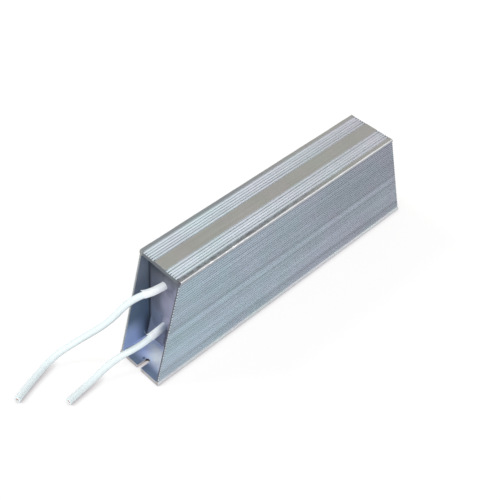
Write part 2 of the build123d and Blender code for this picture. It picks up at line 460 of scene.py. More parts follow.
@dataclass(frozen=True)
class AnodisedSkin(Finish):
    """Matt anodised skin: warm and plain on top, cool and streaked on its sides, partly as painted light, with
    wear and a painted edge highlight along its edges.

    A Fade's first colour is the one by the leads, apart from drift's, which come in clouds.
    """

    plain_top: Triple = (0.328, 0.324, 0.300)
    strip: Fade = ((0.232, 0.250, 0.258), (0.325, 0.325, 0.305))
    # Rib colours are partly painted light: the ribs' light bluish tone against the taupe plain top is partly a
    # painted sheen, by the leads crests are painted lighter than grooves, and at the far end grooves are
    # painted lighter than crests, against their shade.
    crest: Fade = ((0.60, 0.66, 0.70), (0.545, 0.610, 0.665))
    groove: Fade = ((0.50, 0.57, 0.62), (0.66, 0.72, 0.77))
    # Painted shade in the top grooves by the sawn ends.
    groove_end_shade: Triple = (0.17, 0.20, 0.23)
    ribs_fade: Fade = ((1.06, 1.05, 1.04), (0.95, 0.885, 0.865))
    side: Fade = ((0.410, 0.500, 0.565), (0.353, 0.380, 0.438))
    drift: Fade = ((0.975, 1.010, 0.995), (1.018, 0.992, 1.010))
    upper_lip: Triple = (0.385, 0.400, 0.440)
    upper_lip_limit: Pair = (0.1028, 0.1038)
    base_lip: Triple = (0.62, 0.64, 0.65)
    base_lip_limit: Pair = (0.0046, 0.0034)
    # Painted shade in the side grooves by the sawn ends, between the ribs' ends.
    tooth_gap_shade: Triple = (0.10, 0.12, 0.145)
    # Wear and painted edge highlight along the long edges.
    wear_and_highlight: Triple = (0.80, 0.81, 0.82)
    chipped: Triple = (0.95, 0.95, 0.96)
    dark_strip: Triple = (0.125, 0.130, 0.135)
    dark_strip_limits: tuple[Pair, Pair] = ((-0.0202, -0.0210), (-0.0240, -0.0226))
    metallic: float = 0.35
    roughness: float = 0.46
    half_width: float = 0.025
    top_half: float = 0.1285
    group_inner: float = 0.0069
    group_outer: float = 0.0210
    top_rib_start: float = 0.0213
    side_rib_start: float = 0.0010
    side_crest_limit: Pair = (0.02375, 0.02425)
    bands: tuple[Pair, ...] = (
        (0.000, 0.90), (0.014, 1.05), (0.036, 1.10), (0.052, 0.92), (0.135, 0.88), (0.190, 1.07),
        (0.230, 0.99), (0.270, 1.08), (0.330, 1.07), (0.358, 0.91), (0.380, 0.98), (0.420, 0.86),
        (0.450, 1.00), (0.477, 1.22), (0.510, 0.90), (0.540, 0.88), (0.565, 0.97), (0.800, 0.98),
        (0.814, 0.92), (0.829, 1.14), (0.846, 1.00), (0.930, 1.06), (0.951, 0.92), (0.968, 1.08),
        (1.000, 1.00),
    )
    wear_and_highlight_edges: tuple[tuple[float, ...], ...] = (
        (-0.025, HOUSING_HEIGHT, 0.00048, 0.26), (0.025, HOUSING_HEIGHT, 0.00030, 0.45),
        (-0.025, 0.0, 0.00028, 0.5), (0.025, 0.0, 0.00028, 0.5),
    )

    def build(self, effects: SharedEffects) -> bpy.types.Material:
        """Build the material.

        Args:
            effects: The shared groups.

        Returns:
            The material.
        """
        material, place = self.open("anodised_skin")
        grain = self.use(effects.grain, place, Strength=1.0)
        mottle = self.use(effects.mottle, place, Scale=38.0, Amount=0.09)
        is_top = place.axes()[2].remap(HOUSING_HEIGHT - 0.0014, HOUSING_HEIGHT - 0.0007)
        # Warm top and cool, bluer sides: partly the skin's own tone and partly painted light, for warmer light
        # from above and cooler light from the side.
        colour = is_top.mix(self.side_colour(place), self.top_colour(place))
        colour = colour.tinted((grain["Value"] * 0.45 + 1.0) * mottle["Factor"])
        colour = colour.tinted(place.noise(32.0, 2.0).remap(0.36, 0.64).mix(*self.drift))
        # Wear and painted edge highlight along the long edges.
        colour = self.wear_and_highlight_mask(effects, place).mix(colour, self.wear_and_highlight)
        colour = self.chip_mask(place).mix(colour, self.chipped)
        rough = mottle["Specks"].remap(0.0, 1.0, self.roughness, self.roughness + 0.12)
        return self.close(material, colour, rough, grain["Height"].bump(0.00003, 0.8), self.metallic)

    def top_colour(self, place: Field) -> Field:
        """Colour of the top: a plain band, two groups of ribs and an outer strip, darker in clouds on one side.

        Args:
            place: Object coordinates.

        Returns:
            The colour.
        """
        along, across, up = place.axes()
        # Crests and grooves of the top ribs, with the painted sheen and shade set out at the crest colours.
        crest = up.remap(HOUSING_HEIGHT - 0.00065, HOUSING_HEIGHT - 0.00015)
        even = along.remap(-0.04, 0.10)
        ribbed = crest.mix(even.mix(*self.groove), even.mix(*self.crest))
        # Painted shade in the grooves near each sawn end.
        ended = (self.top_half - abs(along)).remap(0.0026, 0.0008) * (1.0 - crest)
        ribbed = ended.mix(ribbed, self.groove_end_shade)
        ribbed = ribbed.tinted(along.remap(-0.10, 0.12).mix(*self.ribs_fade))
        rib = ((across + self.top_rib_start) / TOP_PITCH).math("FLOOR")
        ribbed = ribbed.tinted(rib.lot().remap(0.0, 1.0, 0.93, 1.07))
        clouds = place.stretch((210.0, 520.0, 520.0)).noise(1.0, 3.0, 0.65)
        away = along.remap(-0.05, 0.09)
        inside, outside = (across.remap(*limit) for limit in self.dark_strip_limits)
        darkened = inside * outside * clouds.remap(0.42, 0.56, 0.0, 0.9) * (1.0 - away)
        strip = darkened.mix(away.mix(*self.strip), self.dark_strip)
        aside, inner, outer = across.off(TOP_SHIFT), self.group_inner, self.group_outer
        plain = aside.remap(outer - 0.0003, outer).mix(self.plain_top, strip)
        group = aside.remap(inner - 0.0003, inner + 0.0002) * aside.remap(outer + 0.0002, outer - 0.0003)
        return group.mix(plain, ribbed)

    def side_colour(self, place: Field) -> Field:
        """Colour of the sides: cooler by the leads, banded by height, with a tone for each rib, grooves painted
        lighter low down against their shade and darker near the top as painted shade, and painted shade in the
        grooves by the sawn ends.

        Args:
            place: Object coordinates.

        Returns:
            The colour.
        """
        along, across, up = place.axes()
        base = along.remap(-0.16, 0.14).mix(*self.side)
        base = up.remap(*self.upper_lip_limit).mix(base, self.upper_lip)
        base = up.remap(*self.base_lip_limit).mix(base, self.base_lip)
        rib = ((up - self.side_rib_start) / SIDE_PITCH).math("FLOOR")
        streak = place.sketch.give("ShaderNodeCombineXYZ", {0: along * 14.0, 1: rib * 5.3})
        slow, own = (streak.noise(1.0, 2.0) - 0.5) * 0.26, (rib.lot() - 0.5) * 0.14
        level = (up / HOUSING_HEIGHT).ramp(self.bands) * (slow + own + 1.0)
        far = along.remap(-0.04, 0.12) * up.remap(0.045, 0.075)
        level = level * far.remap(0.0, 1.0, 1.0, 0.90)
        gap = 1.0 - abs(across).remap(*self.side_crest_limit)
        # Grooves painted lighter low down, against their shade, and darker near the top, as painted shade.
        level = level * (1.0 - gap * up.remap(0.074, 0.092, -0.12, 0.08))
        # Painted shade in the grooves by each sawn end.
        last = BASE_HALF - up * (END_SETBACK / HOUSING_HEIGHT) - abs(along)
        ended = last.remap(0.0020, 0.0007) * gap * up.remap(0.001, 0.004)
        return ended.mix(base.tinted(level), self.tooth_gap_shade)

    def chip_mask(self, place: Field) -> Field:
        """Bare metal where the top's −Y edge is chipped.

        Args:
            place: Object coordinates.

        Returns:
            The mask.
        """
        along, across, up = place.axes()
        off = across.off(-self.half_width).larger(up.off(HOUSING_HEIGHT))
        reaches = [(1.25 - along.off(centre) / width) * (deep * 1.5) for centre, width, deep in EDGE_CHIPS]
        return reduce(Field.larger, [(reach - off).math("MULTIPLY", 6000.0, clamp=True) for reach in reaches])

    def wear_and_highlight_mask(self, effects: SharedEffects, place: Field) -> Field:
        """Bright lines of wear and painted edge highlight along the four long outer edges.

        Args:
            effects: The shared groups.
            place: Object coordinates.

        Returns:
            The mask.
        """
        names = ("Edge_Y", "Edge_Z", "Reach", "Breakup")
        rows = [self.use(effects.wear_highlight_group, place, **dict(zip(names, edge))) for edge in self.wear_and_highlight_edges]
        return reduce(Field.larger, [row["Mask"] for row in rows]) * 0.9


@dataclass(frozen=True)
class PlainFinish(Finish):
    """Matt surface with cloudy colour, specks and a fine bump, for cement, board and inner pieces."""

    name: str
    colour: Triple
    speck: Triple
    scale: float
    amount: float
    speck_share: float
    roughness: float
    metallic: float
    bump: float
    drawn: bool = False

    def build(self, effects: SharedEffects) -> bpy.types.Material:
        """Build the material.

        Args:
            effects: The shared groups.

        Returns:
            The material.
        """
        material, place = self.open(self.name)
        mottle = self.use(effects.mottle, place, Scale=self.scale, Amount=self.amount)
        grain = self.use(effects.grain, place, Strength=1.0 if self.drawn else 0.25)
        colour = self.tone(place).tinted(mottle["Factor"])
        colour = (mottle["Specks"] * self.speck_share).mix(colour, self.speck)
        rough = mottle["Factor"].remap(0.8, 1.2, self.roughness + 0.08, self.roughness - 0.05)
        normal = (mottle["Specks"] + grain["Height"]).bump(self.bump, 0.7)
        return self.close(material, colour, rough, normal, self.metallic)

    def tone(self, place: Field) -> Field:
        """Colour before the clouds and specks, which has slow drifts of its own."""
        duller, brighter = (tuple(part * factor for part in self.colour) for factor in (0.94, 1.06))
        return place.noise(18.0, 2.0).remap(0.35, 0.65).mix(duller, brighter)


@dataclass(frozen=True)
class CavityWall(PlainFinish):
    """Inner faces of the housing, painted with light and shade: a wall in painted shade, painted lighter and
    bluer low down, a painted lit wall, and a floor with a painted highlight.
    """

    # Painted shade on the wall from mid-height down, and painted light, lighter and bluer, low down by the
    # opening.
    wall_middle: Triple = (0.092, 0.142, 0.215)
    wall_low: Triple = (0.40, 0.52, 0.80)
    # Near-black of painted shade, in corners and by the slot's end.
    painted_shade: Triple = (0.02, 0.028, 0.05)
    # Painted light: the inner wall on the −Y side is painted lit, the same metal as the shaded one.
    painted_lit_wall: Triple = (0.72, 0.74, 0.80)
    light_arc: Triple = (0.48, 0.55, 0.66)
    light_arc_centre: Pair = (0.1247, 0.0106)
    light_arc_radius: float = 0.0088
    # Painted light on the floor: darker by the opening, lighter inwards, with a painted highlight by the lit
    # wall and along the board's foot.
    floor_outer: Triple = (0.140, 0.192, 0.290)
    floor_middle: Triple = (0.50, 0.60, 0.93)
    floor_highlight: Triple = (0.86, 0.93, 1.0)
    floor_limit: Pair = (0.0042, 0.0032)
    toe_line: float = 0.1297
    # Place of a spot of painted shade on the floor by the slot's inner end.
    slot_end_shade_place: Triple = (-0.1493, 0.0043, 0.003)

    def tone(self, place: Field) -> Field:
        """Painted light and shade of the walls and of the floor, by height and by the distance from the
        housing's middle.

        Args:
            place: Object coordinates.

        Returns:
            The colour.
        """
        along, across, up = place.axes()
        out = abs(along)
        # Painted shade from mid-height down, and painted light low down by the opening.
        wall = up.remap(0.080, 0.048).mix(self.colour, self.wall_middle)
        wall = (up.remap(0.037, 0.016) * out.remap(0.129, 0.145)).mix(wall, self.wall_low)
        leaning = out + up * 0.06
        # Painted shade in the corner by the board, deeper low down.
        corner = leaning.remap(0.1292, 0.1277) * 0.92
        deep = leaning.remap(0.1355, 0.1285) * up.remap(0.038, 0.016) * 0.82
        wall = corner.larger(deep).mix(wall, self.painted_shade)
        wall = self.light_arc_mask(out, up).mix(wall, self.light_arc)
        # Painted light on the −Y inner wall.
        wall = across.remap(0.010, -0.010).mix(wall, self.painted_lit_wall)
        # Painted light and shade on the floor, and a painted highlight by the lit wall and along the board's
        # foot.
        floor = out.remap(0.155, 0.143).mix(self.floor_outer, self.floor_middle)
        painted_floor_highlight = (across + out * 1.1).remap(0.172, 0.152) * out.remap(0.1530, 0.1430)
        painted_floor_highlight = painted_floor_highlight * out.remap(0.1290, 0.1360, 0.25, 1.0)
        toe_highlight = out.off(self.toe_line).remap(0.0009, 0.0003, 0.0, 0.55)
        floor = painted_floor_highlight.larger(toe_highlight).mix(floor, self.floor_highlight)
        # Painted shade on the floor by the slot's inner end.
        slot_end_shade = place.distance(self.slot_end_shade_place).remap(0.0017, 0.0007, 0.0, 0.75)
        return up.remap(*self.floor_limit).mix(wall, slot_end_shade.mix(floor, self.painted_shade))

    def light_arc_mask(self, out: Field, up: Field) -> Field:
        """Thin light curved arc low on the wall, from the board's foot outwards and up.

        Args:
            out: Distance from the housing's middle.
            up: Height.

        Returns:
            The mask.
        """
        sides = [axis - centre for axis, centre in zip((out, up), self.light_arc_centre)]
        radius = (sides[0].math("POWER", 2.0) + sides[1].math("POWER", 2.0)).math("SQRT")
        return radius.off(self.light_arc_radius).remap(0.0006, 0.0001) * up.remap(0.0125, 0.0090, 0.0, 0.8)


@dataclass(frozen=True)
class BoardFace(PlainFinish):
    """Fired board and its cement, with painted shade near the top and on one side, and a painted highlight
    towards the other.
    """

    # Painted shade at the top, a painted highlight, and a lighter, bluer tone low down.
    shaded: Triple = (0.090, 0.101, 0.118)
    painted_highlight: Triple = (0.345, 0.345, 0.465)
    low: Triple = (0.195, 0.230, 0.330)
    painted_shade: Triple = (0.03, 0.04, 0.06)
    painted_shade_reach: float = 0.0012
    highlight_place: Triple = (0.0, 0.0055, 0.0408)
    # Painted shadows under and beside the sleeves on the near board.
    painted_shadows: tuple[tuple[float, ...], ...] = (
        (0.066, 0.078, -0.006, 0.003, 0.35),
        (0.0055, 0.029, -0.020, 0.004, 0.80),
        (0.036, 0.039, -0.006, 0.001, 0.6),
    )

    def tone(self, place: Field) -> Field:
        """Painted shade that thins out downwards and across, lighter and bluer low down, with a painted
        highlight and small painted shadows on the near board.

        Args:
            place: Object coordinates.

        Returns:
            The colour.
        """
        along, across, up = place.axes()
        cloud = place.noise(45.0)
        level = up + (cloud * 0.012 - 0.006)
        plain = level.remap(0.050, 0.036).mix(self.colour, self.low)
        # Painted shade near the top.
        colour = level.remap(0.090, 0.070).mix(self.shaded, plain)
        # Painted highlight towards the −Y side, and a painted pool of light right of the middle.
        centre = across.remap(0.016, -0.008) * level.remap(0.092, 0.066)
        colour = centre.mix(colour, self.painted_highlight)
        glow = place.stretch((0.0, 1.3, 0.8)).distance(self.highlight_place)
        colour = glow.remap(0.011, 0.001, 0.0, 0.8).mix(colour, self.painted_highlight)
        # Painted shade at the top on the +Y side.
        top = up.remap(0.080, 0.088) * across.remap(-0.001, 0.006)
        colour = (top * 0.6).mix(colour, self.painted_shade)
        near = along.remap(0.0, -0.10)
        wander = across + (cloud - 0.5) * 0.02
        # Painted shadows under the sleeves on the near board.
        for low, high, right, left, strength in self.painted_shadows:
            painted_shadow = level.within(low, high, 0.003) * wander.within(right, left, 0.003) * strength
            colour = (painted_shadow * near).mix(colour, self.painted_shade)
        # Painted shade in the corners by the side walls.
        side = abs(across).remap(0.0222 - self.painted_shade_reach, 0.0219)
        return (side * 0.9).mix(colour, self.painted_shade)


@dataclass(frozen=True)
class SawnEnd(PlainFinish):
    """Saw cut across the extrusion, with the marks of the blade across the wall."""

    left: Triple = (0.27, 0.27, 0.265)
    right: Triple = (0.085, 0.085, 0.110)
    foot: Triple = (0.42, 0.40, 0.40)
    # Slot walls painted light by the mouth and dark, as painted shade, at the inner end.
    slot: Fade = ((0.60, 0.57, 0.57), (0.04, 0.04, 0.055))

    def tone(self, place: Field) -> Field:
        """Cut metal with fine marks across it, lighter on the +Y side and darker on the −Y side, lighter at the
        foot, painted light by the slot's mouth and in painted shade where the slot ends.

        Args:
            place: Object coordinates.

        Returns:
            The colour.
        """
        along, across, up = place.axes()
        colour = across.remap(-0.0205, -0.0225).mix(self.colour, self.right)
        colour = across.remap(0.0205, 0.0225).mix(colour, self.left)
        # Slot walls painted light by the mouth and in painted shade at the inner end.
        slot = abs(along).remap(0.1502, 0.1488).mix(*self.slot)
        foot = abs(across).remap(0.0042, 0.0030).mix(self.foot, slot)
        marks = place.stretch((1500.0, 70.0, 1500.0)).noise(1.0, 3.0, 0.7)
        return up.remap(0.0050, 0.0030).mix(colour, foot).tinted(marks.remap(0.38, 0.62, 0.8, 1.22))


@dataclass(frozen=True)
class WovenSleeve(Finish):
    """Coated glass-fibre sleeve whose weave follows the piece's own UV map, in metres."""

    colour: Triple = (0.97, 0.99, 1.0)
    gap: Triple = (0.86, 0.92, 0.95)
    # Painted shadow on the lower sleeve's root.
    painted_shadow: Triple = (0.22, 0.27, 0.38)
    thread: float = 0.00075
    roughness: float = 0.55

    def build(self, effects: SharedEffects) -> bpy.types.Material:
        """Build the material.

        Args:
            effects: The shared groups.

        Returns:
            The material.
        """
        material, place = self.open("woven_sleeve")
        laid_out = place.sketch.give("ShaderNodeUVMap", uv_map="UVMap")
        turn = (0.0, 0.0, math.radians(45.0))
        turned = place.sketch.give("ShaderNodeMapping", {"Vector": laid_out, "Rotation": turn})
        one, two = ((axis * (math.tau / self.thread)).math("SINE") for axis in turned.axes()[:2])
        weave = one * two
        mottle = self.use(effects.mottle, place, Scale=120.0, Amount=0.06)
        along, across, up = place.axes()
        # Painted shadow on the lower sleeve's root, strongest on its −Y side.
        root = along.remap(-0.1400, -0.1290) * up.remap(0.045, 0.040)
        shaded = root * across.remap(0.0022, -0.0022, 0.12, 0.9)
        colour = shaded.mix(weave.remap(-0.8, 0.6).mix(self.gap, self.colour), self.painted_shadow)
        rough = mottle["Specks"].remap(0.0, 1.0, self.roughness, self.roughness + 0.2)
        normal = weave.remap(-1.0, 1.0).bump(0.00007, 0.8)
        return self.close(material, colour.tinted(mottle["Factor"]), rough, normal)


@dataclass(frozen=True)
class SiliconeJacket(Finish):
    """Soft matt silicone of the leads, faintly ringed by the extruder, with patches of dirt, and painted shade
    on its underside.
    """

    colour: Triple = (0.80, 0.88, 0.895)
    soil_and_shade: Triple = (0.38, 0.41, 0.40)
    roughness: float = 0.5
    rings_to_metre: float = 700.0

    def build(self, effects: SharedEffects) -> bpy.types.Material:
        """Build the material.

        Args:
            effects: The shared groups.

        Returns:
            The material.
        """
        material, place = self.open("silicone_jacket")
        mottle = self.use(effects.mottle, place, Scale=55.0, Amount=0.05)
        along = place.sketch.give("ShaderNodeUVMap", uv_map="UVMap").axes()[1]
        ringed = {"W": along * self.rings_to_metre, "Detail": 3.0}
        rings = place.sketch.give("ShaderNodeTexNoise", ringed, noise_dimensions="1D")
        # Patches of dirt, and painted shade on the underside where the normal faces down.
        darkened = place.noise(75.0, 5.0, 0.6).remap(0.60, 0.80, 0.0, 0.35)
        facing = place.sketch.give("ShaderNodeNewGeometry", output="Normal").axes()[2]
        darkened = darkened.larger(facing.remap(0.05, -0.50, 0.0, 0.9))
        clean = mottle["Factor"].tinted(self.colour)
        rough = mottle["Factor"].remap(0.92, 1.08, self.roughness + 0.1, self.roughness - 0.06)
        return self.close(material, darkened.mix(clean, self.soil_and_shade), rough, rings.bump(0.00004, 0.6))


class Finishes:
    """Every material of the part, built once and looked up by what it is used for.

    A row gives a finish's name, colour, specks' colour, scale, cloudiness, share of specks, roughness,
    metallic and bump in metres.
    """

    def __init__(self) -> None:
        """Build the shared groups and the materials."""
        effects = SharedEffects()
        self.skin = AnodisedSkin().build(effects)
        self.cavity = CavityWall(
            "cavity_wall", (0.160, 0.198, 0.258), (0.30, 0.31, 0.36), 45.0, 0.12, 0.15, 0.55, 0.15, 0.00004,
            drawn=True,
        ).build(effects)
        self.sawn = SawnEnd(
            "sawn_end", (0.125, 0.140, 0.155), (0.3, 0.31, 0.32), 90.0, 0.14, 0.3, 0.42, 0.4, 0.00005
        ).build(effects)
        # Painted highlight: the ribs' sawn ends are a lighter copy of the sawn finish.
        self.rib_end_highlight = SawnEnd(
            "rib_end_highlight", (0.50, 0.57, 0.62), (0.7, 0.72, 0.74), 90.0, 0.14, 0.3, 0.42, 0.4, 0.00005,
            left=(0.40, 0.44, 0.47), right=(0.52, 0.58, 0.63), foot=(0.40, 0.42, 0.44),
        ).build(effects)
        self.jacket = SiliconeJacket().build(effects)
        self.sleeve = WovenSleeve().build(effects)
        rows = (
            ("mica", (0.36, 0.31, 0.2), (0.62, 0.58, 0.46), 55.0, 0.2, 0.6, 0.4, 0.0, 0.00006),
            ("quartz_filling", (0.5, 0.47, 0.42), (0.8, 0.79, 0.76), 160.0, 0.15, 0.7, 0.9, 0.0, 0.0004),
            ("core_ceramic", (0.76, 0.73, 0.64), (0.6, 0.56, 0.48), 50.0, 0.06, 0.4, 0.7, 0.0, 0.00006),
            ("resistance_wire", (0.2, 0.19, 0.18), (0.4, 0.38, 0.36), 300.0, 0.2, 0.5, 0.4, 0.9, 0.0001),
            ("terminal_metal", (0.52, 0.5, 0.46), (0.35, 0.33, 0.3), 90.0, 0.1, 0.4, 0.32, 0.95, 0.00003),
            ("copper", (0.72, 0.36, 0.22), (0.42, 0.22, 0.14), 150.0, 0.15, 0.4, 0.3, 0.95, 0.00004),
        )
        boards = (
            ("end_board", (0.145, 0.160, 0.215), (0.26, 0.27, 0.33), 50.0, 0.12, 0.3, 0.5, 0.0, 0.0001),
            ("sealing_cement", (0.140, 0.155, 0.210), (0.24, 0.26, 0.32), 90.0, 0.16, 0.4, 0.8, 0.0, 0.00016),
        )
        self.by_slot = {row[0]: PlainFinish(*row).build(effects) for row in rows}
        for row, reach in zip(boards, (0.0012, 0.0013)):
            self.by_slot[row[0]] = BoardFace(*row, painted_shade_reach=reach).build(effects)


@dataclass
class Housing:
    """The ribbed aluminium extrusion, sawn to slanted ends, in metres like everything here."""

    width: float = 0.050
    height: float = HOUSING_HEIGHT
    base_half: float = BASE_HALF
    setback: float = END_SETBACK
    side_wall: float = 0.0028
    base_wall: float = 0.0030
    top_wall: float = 0.0036
    inner_corner: float = 0.0015
    lip: float = 0.0030
    lip_run: float = 0.001225
    side_setback: float = 0.0006
    groove_depth: float = 0.0008
    side_ribs: int = 36
    side_crest: float = 0.00140
    top_ribs: int = 5
    top_crest: float = 0.00136
    top_centre: float = 0.0139
    top_reach: float = 0.00715
    flank_run: float = 0.000375
    rib_rounding: float = 0.00028
    rib_end_gap: float = 0.00005
    sink: float = 0.0002
    soft: float = 0.00022
    burr: float = 0.00012
    chip_reach: float = 0.0007
    slot_width: float = 0.0046
    slot_depth: float = 0.012
    cut_over: float = 0.001

    def reach(self, height: float) -> float:
        """Distance of the slanted end from the middle at a height."""
        return self.base_half - height * self.setback / self.height

    def outline(self) -> list[Pair]:
        """Outer section without the ribs, from the middle of the base round by +Y.

        Returns:
            Points across and up, with softened corners.
        """
        wide, tall = self.width / 2, self.height
        crest, floor = wide - self.side_setback, wide - self.side_setback - self.groove_depth
        low, run, sunk = self.lip, self.flank_run, tall - self.groove_depth
        edge = low + self.lip_run
        inner, outer = self.top_centre - self.top_reach, self.top_centre + self.top_reach
        wall = [
            (wide, 0.0), (wide, low), (crest, low), (crest, edge), (floor, edge + run),
            (floor, tall - edge - run), (crest, tall - edge), (crest, tall - low),
            (wide, tall - low), (wide, tall),
        ]
        groove = [(outer, tall), (outer - run, sunk), (inner + run, sunk), (inner, tall)]
        whole = wall + [(across + TOP_SHIFT, up) for across, up in groove]
        whole += [(TOP_SHIFT - across, up) for across, up in reversed(groove)]
        whole += [(-across, up) for across, up in reversed(wall)]
        return self.softened(whole, self.soft)

    def cavity(self) -> list[Pair]:
        """Section of the hollow, with rounded corners."""
        wide, low, high = self.width / 2 - self.side_wall, self.base_wall, self.height - self.top_wall
        return self.softened([(wide, low), (wide, high), (-wide, high), (-wide, low)], self.inner_corner, 4)

    @staticmethod
    def softened(points: Sequence[Pair], radius: float, steps: int = 2) -> list[Pair]:
        """Round the corners of a closed section.

        Args:
            points: Corners in order.
            radius: Reach of the rounding along each side, cut short on short sides.
            steps: Points added between the two ends of each rounding.

        Returns:
            The longer list of points.
        """
        made: list[Pair] = []
        for index, corner in enumerate(points):
            here = Vector(corner)
            before = Vector(points[index - 1]) - here
            after = Vector(points[(index + 1) % len(points)]) - here
            reach = min(radius, before.length * 0.4, after.length * 0.4)
            start, end = here + before.normalized() * reach, here + after.normalized() * reach
            for step in range(steps + 2):
                share = step / (steps + 1)
                made.append(tuple(start.lerp(here, share).lerp(here.lerp(end, share), share)))
        return made

    @staticmethod
    def pushed(points: Sequence[Pair], distance: float) -> list[Pair]:
        """Move a counter-clockwise section inwards.

        Args:
            points: Points of the section in order.
            distance: How far it moves, outwards where it is negative.

        Returns:
            The moved points.
        """
        made: list[Pair] = []
        for index, point in enumerate(points):
            ahead = Vector(points[(index + 1) % len(points)]) - Vector(points[index - 1])
            inward = Vector((-ahead.y, ahead.x)).normalized()
            made.append((point[0] + inward.x * distance, point[1] + inward.y * distance))
        return made

    def stations(self) -> list[float]:
        """Places of the rings along the housing, closer by the chips.

        Returns:
            Shares of its half length, in order.
        """
        shares = {round(step / 16, 5) for step in range(-15, 16)}
        for centre, width, _ in EDGE_CHIPS:
            for step in range(-10, 11):
                shares.add(round((centre + step * width / 4) / self.reach(self.height), 5))
        return sorted(shares)

    def dent(self, spot: Vector) -> Vector:
        """Push a point of the skin in where the top's −Y edge is chipped.

        Args:
            spot: The point.

        Returns:
            The point after the chips.
        """
        off = max(abs(spot.y + self.width / 2), abs(spot.z - self.height))
        if off > self.chip_reach or spot.y > 0:
            return spot
        depth = 0.0
        for centre, width, deep in EDGE_CHIPS:
            depth = max(depth, deep * math.exp(-(((spot.x - centre) / width) ** 2) * 2.0))
        return spot + Vector((0.0, 0.6, -0.6)) * depth * (1.0 - off / self.chip_reach)

    def shell(self, finishes: Finishes) -> bpy.types.Object:
        """Build the walls: skin, hollow, sawn ends and slots.

        Args:
            finishes: The materials.

        Returns:
            The shell's object.
        """
        made = bmesh.new()
        sections = ((self.outline(), self.stations(), True), (self.cavity(), [-0.9, 0.9], False))
        ends: dict[int, list[bmesh.types.BMEdge]] = {-1: [], 1: []}
        for section, stations, outer in sections:
            trimmed = self.pushed(section, self.burr if outer else -self.burr)
            rows = [(trimmed, -1.0, 0.0), (section, -1.0, self.burr)]
            rows += [(section, share, 0.0) for share in stations]
            rows += [(section, 1.0, self.burr), (trimmed, 1.0, 0.0)]
            rings = []
            for points, share, back in rows:
                spots = [Vector((share * (self.reach(up) - back), across, up)) for across, up in points]
                rings.append([made.verts.new(self.dent(spot) if outer else spot) for spot in spots])
            for first, second in zip(rings, rings[1:]):
                bridge(made, first, second, 0 if outer else 1, outer)
            for side, ring in ((-1, rings[0]), (1, rings[-1])):
                ends[side] += [made.edges.get((vertex, ring[index - 1])) for index, vertex in enumerate(ring)]
        for side, edges in ends.items():
            filled = bmesh.ops.triangle_fill(made, use_beauty=True, edges=edges, normal=(side, 0.0, 0.0))
            for face in filled["geom"]:
                if isinstance(face, bmesh.types.BMFace):
                    face.material_index = 2
        piece = mesh_object("housing_shell", made)
        for material in (finishes.skin, finishes.cavity, finishes.sawn):
            piece.data.materials.append(material)
        return self.slotted(piece)

    def slotted(self, piece: bpy.types.Object) -> bpy.types.Object:
        """Cut the open slot in each end of the shell's base, and give its walls the sawn finish.

        Args:
            piece: The shell.

        Returns:
            The shell with its slots.
        """
        cutter = bmesh.new()
        over, radius, slot_end = self.cut_over, self.slot_width / 2, self.base_half - self.slot_depth
        past = self.base_half + 2 * over
        outline = [(past, radius), (past, -radius)]
        for turn in (math.pi * (step / 16 - 0.5) for step in range(17)):
            outline.append((slot_end + radius - radius * math.cos(turn), radius * math.sin(turn)))
        for side in (-1, 1):
            low = [cutter.verts.new((side * along, across, -over)) for along, across in outline]
            moved = bmesh.ops.extrude_face_region(cutter, geom=[cutter.faces.new(low)])["geom"]
            raised = [item for item in moved if isinstance(item, bmesh.types.BMVert)]
            bmesh.ops.translate(cutter, vec=(0.0, 0.0, self.base_wall + 2 * over), verts=raised)
        tool = mesh_object("slot_cutter", cutter)
        cut = piece.modifiers.new("slots", "BOOLEAN")
        cut.object = tool
        cut.solver = "EXACT"
        settle(piece)
        bpy.data.objects.remove(tool)
        for polygon in piece.data.polygons:
            out, aside, up = abs(polygon.center.x), abs(polygon.center.y), polygon.center.z
            in_slot = aside < radius + 0.00002 and slot_end - 0.0001 < out < self.base_half - 0.0001
            if in_slot and up < self.base_wall and abs(polygon.normal.z) < 0.5:
                polygon.material_index = 2
        return piece

    @staticmethod
    def rib_tree() -> bpy.types.NodeTree:
        """Geometry tree that makes one row of ribs with slanted ends.

        Returns:
            The tree, with named inputs for sizes, places and materials.
        """
        tree = bpy.data.node_groups.new("rib_row", "GeometryNodeTree")
        tree.interface.new_socket("Geometry", in_out="OUTPUT", socket_type="NodeSocketGeometry")
        for kind, labels in (
            ("Int", ("Count",)),
            ("Vector", ("Start", "Step", "Turn")),
            ("Float", ("Crest Width", "Root Width", "Depth", "Rounding", "Base Reach", "Slant")),
            ("Material", ("Skin", "Cut End")),
        ):
            for label in labels:
                tree.interface.new_socket(label, in_out="INPUT", socket_type=f"NodeSocket{kind}")
        sketch = NodeSketch(tree)
        given = sketch.fields(sketch.put("NodeGroupInput"))
        widths = {"Bottom Width": given["Crest Width"], "Top Width": given["Root Width"], "Offset": 0.0}
        section = sketch.give(
            "GeometryNodeCurvePrimitiveQuadrilateral", {"Height": given["Depth"], **widths}, mode="TRAPEZOID"
        )
        rounding = {"Curve": section, "Count": 3, "Radius": given["Rounding"]}
        rounded = sketch.give("GeometryNodeFilletCurve", rounding, mode="POLY")
        ends = {"Start": (-0.1, 0.0, 0.0), "End": (0.1, 0.0, 0.0)}
        line = sketch.give("GeometryNodeCurvePrimitiveLine", ends)
        sweep = {"Curve": line, "Profile Curve": rounded, "Fill Caps": True}
        swept = sketch.give("GeometryNodeCurveToMesh", sweep)
        steps = {"Count": given["Count"], "Start Location": given["Start"], "Offset": given["Step"]}
        row = sketch.give("GeometryNodeMeshLine", steps, mode="OFFSET")
        turned = sketch.give("FunctionNodeEulerToRotation", {0: given["Turn"]})
        places = {"Points": row, "Instance": swept, "Rotation": turned}
        placed = sketch.give("GeometryNodeInstanceOnPoints", places)
        real = sketch.give("GeometryNodeRealizeInstances", {0: placed})
        along, across, up = sketch.give("GeometryNodeInputPosition").axes()
        reach = given["Base Reach"] - up * given["Slant"]
